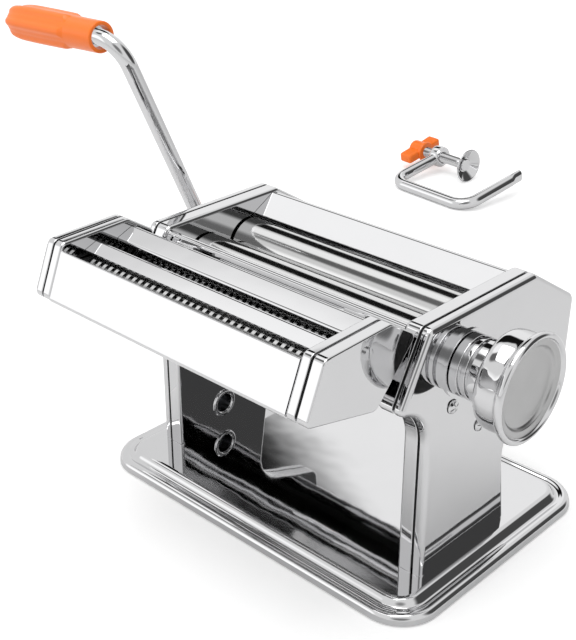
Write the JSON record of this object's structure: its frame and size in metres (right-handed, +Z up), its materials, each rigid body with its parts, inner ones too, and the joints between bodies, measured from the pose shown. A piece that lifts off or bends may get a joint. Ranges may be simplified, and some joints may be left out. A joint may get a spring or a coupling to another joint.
{
  "type": "pasta roller machine",
  "caption": "Hand-cranked pasta sheet roller with bright metal side panels, a pull-and-turn thickness knob, a lift-off noodle cutter attachment and a screw table clamp.",
  "frame": {"origin": "centre of the base plate, on the table", "axes": "+X along the rollers towards the thickness knob (the crank is on -X), +Y towards the back (the cutter attachment is on -Y), +Z up from the table"},
  "size_m": [0.4238, 0.5854, 0.2359],
  "materials": {
    "chrome": "mirror polished",
    "zinc_steel": "zinc plated",
    "gear_steel": "machined, oiled",
    "roller_steel": "ground and polished",
    "cutter_steel": "turned and plated",
    "bronze": "sintered",
    "rubber": "matt",
    "black_plastic": "satin",
    "orange_plastic": "glossy"
  },
  "bodies": {
    "machine": {"base_plate": "chrome", "rubber_feet": "rubber", "leg_screws": "zinc_steel", "leg_tap_bars": "zinc_steel", "left_inner_panel": "chrome", "right_inner_panel": "chrome", "clamp_sleeve": "zinc_steel", "left_cover": "chrome", "right_cover": "chrome", "cover_studs": "zinc_steel", "tie_rods": "chrome", "tie_nuts": "zinc_steel", "drive_bushes": "bronze", "axle_bush": "bronze", "front_hopper_plate": "chrome", "rear_hopper_plate": "chrome", "front_scraper": "cutter_steel", "rear_scraper": "cutter_steel", "index_plate": "chrome", "attachment_rails": "chrome"},
    "drive_roller": {"drive_roller": "roller_steel", "drive_gear": "gear_steel"},
    "crank": {"crank_rod": "chrome", "grip_collar": "chrome"},
    "crank_grip": {"crank_grip": "orange_plastic"},
    "thickness_axle": {"eccentric_axle": "zinc_steel", "knob_screw": "chrome", "knob_spring": "zinc_steel"},
    "thickness_knob": {"knob_stem": "chrome", "knob_pin": "zinc_steel", "knob_cap": "chrome"},
    "roller_sleeves": {"roller_bushes": "bronze"},
    "adjustable_roller": {"adjustable_roller": "roller_steel", "adjustable_gear": "gear_steel"},
    "cutter_attachment": {"front_plate": "chrome", "middle_plate": "chrome", "rear_plate": "chrome", "hanger_channels": "chrome", "left_cap_inner": "chrome", "right_cap_inner": "chrome", "left_cap_cover": "chrome", "right_cap_cover": "chrome", "cap_posts": "zinc_steel", "cap_screws": "chrome", "cutter_tie_rods": "chrome", "bearing_cheeks": "black_plastic", "combs": "cutter_steel"},
    "narrow_front": {"narrow_cutter_front": "cutter_steel", "narrow_gear_front": "gear_steel"},
    "narrow_rear": {"narrow_cutter_rear": "cutter_steel", "narrow_gear_rear": "gear_steel"},
    "wide_front": {"wide_cutter_front": "cutter_steel", "wide_gear_front": "gear_steel"},
    "wide_rear": {"wide_cutter_rear": "cutter_steel", "wide_gear_rear": "gear_steel"},
    "table_clamp": {"clamp_frame": "chrome"},
    "clamp_cup": {"clamp_cup": "chrome"},
    "clamp_screw": {"clamp_screw": "chrome", "clamp_wing": "orange_plastic"}
  },
  "joints": [
    {"name": "drive_spin", "type": "hinge", "parent": "machine", "child": "drive_roller", "pos_m": [0, 0.0105, 0.1145], "axis": [1, 0, 0], "continuous": true},
    {"name": "crank_pull", "type": "slide", "parent": "drive_roller", "child": "crank", "axis": [-1, 0, 0], "range_m": [0, 0.025]},
    {"name": "grip_spin", "type": "hinge", "parent": "crank", "child": "crank_grip", "pos_m": [-0.115, -0.04193, 0.22797], "axis": [-0.999, 0.0183, -0.0396], "continuous": true},
    {"name": "thickness_turn", "type": "hinge", "parent": "machine", "child": "thickness_axle", "pos_m": [0, -0.02045, 0.1145], "axis": [-1, 0, 0], "range_deg": [0, 180]},
    {"name": "knob_pull", "type": "slide", "parent": "thickness_axle", "child": "thickness_knob", "axis": [1, 0, 0], "range_m": [0, 0.004], "stiffness_N_per_m": 1500, "springref_m": -0.004},
    {"name": "sleeve_turn", "type": "hinge", "parent": "thickness_axle", "child": "roller_sleeves", "pos_m": [0, -0.0217, 0.1145], "axis": [-1, 0, 0], "range_deg": [-180, 0]},
    {"name": "adjustable_spin", "type": "hinge", "parent": "roller_sleeves", "child": "adjustable_roller", "pos_m": [0, -0.0217, 0.1145], "axis": [1, 0, 0], "continuous": true},
    {"name": "attachment_lift", "type": "slide", "parent": "machine", "child": "cutter_attachment", "axis": [0, 0.4771, 0.8789], "range_m": [0, 0.06]},
    {"name": "narrow_front_spin", "type": "hinge", "parent": "cutter_attachment", "child": "narrow_front", "pos_m": [0, -0.10965, 0.1344], "axis": [1, 0, 0], "continuous": true},
    {"name": "narrow_rear_spin", "type": "hinge", "parent": "cutter_attachment", "child": "narrow_rear", "pos_m": [0, -0.0985, 0.1352], "axis": [1, 0, 0], "continuous": true},
    {"name": "wide_rear_spin", "type": "hinge", "parent": "cutter_attachment", "child": "wide_rear", "pos_m": [0, -0.0744, 0.1342], "axis": [1, 0, 0], "continuous": true},
    {"name": "wide_front_spin", "type": "hinge", "parent": "cutter_attachment", "child": "wide_front", "pos_m": [0, -0.0849, 0.1306], "axis": [1, 0, 0], "continuous": true},
    {"name": "clamp_lift", "type": "slide", "parent": "machine", "child": "table_clamp", "axis": [0, 0, 1], "range_m": [0, 0.1]},
    {"name": "cup_slide", "type": "slide", "parent": "table_clamp", "child": "clamp_cup", "axis": [0.9945, -0.1045, 0], "range_m": [-0.02, 0.00875]},
    {"name": "screw_turn", "type": "hinge", "parent": "clamp_cup", "child": "clamp_screw", "pos_m": [-0.26382, 0.43884, 0.015], "axis": [0.9945, -0.1045, 0], "range_deg": [-5766, 2526]}
  ],
  "couplings": [
    {"joint": "sleeve_turn", "follows": "thickness_turn", "ratio": -1},
    {"joint": "adjustable_spin", "follows": "drive_spin", "ratio": -1},
    {"joint": "narrow_rear_spin", "follows": "narrow_front_spin", "ratio": -1},
    {"joint": "wide_front_spin", "follows": "wide_rear_spin", "ratio": -1},
    {"joint": "screw_turn", "follows": "cup_slide", "rad_per_m": 5026.5}
  ]
}
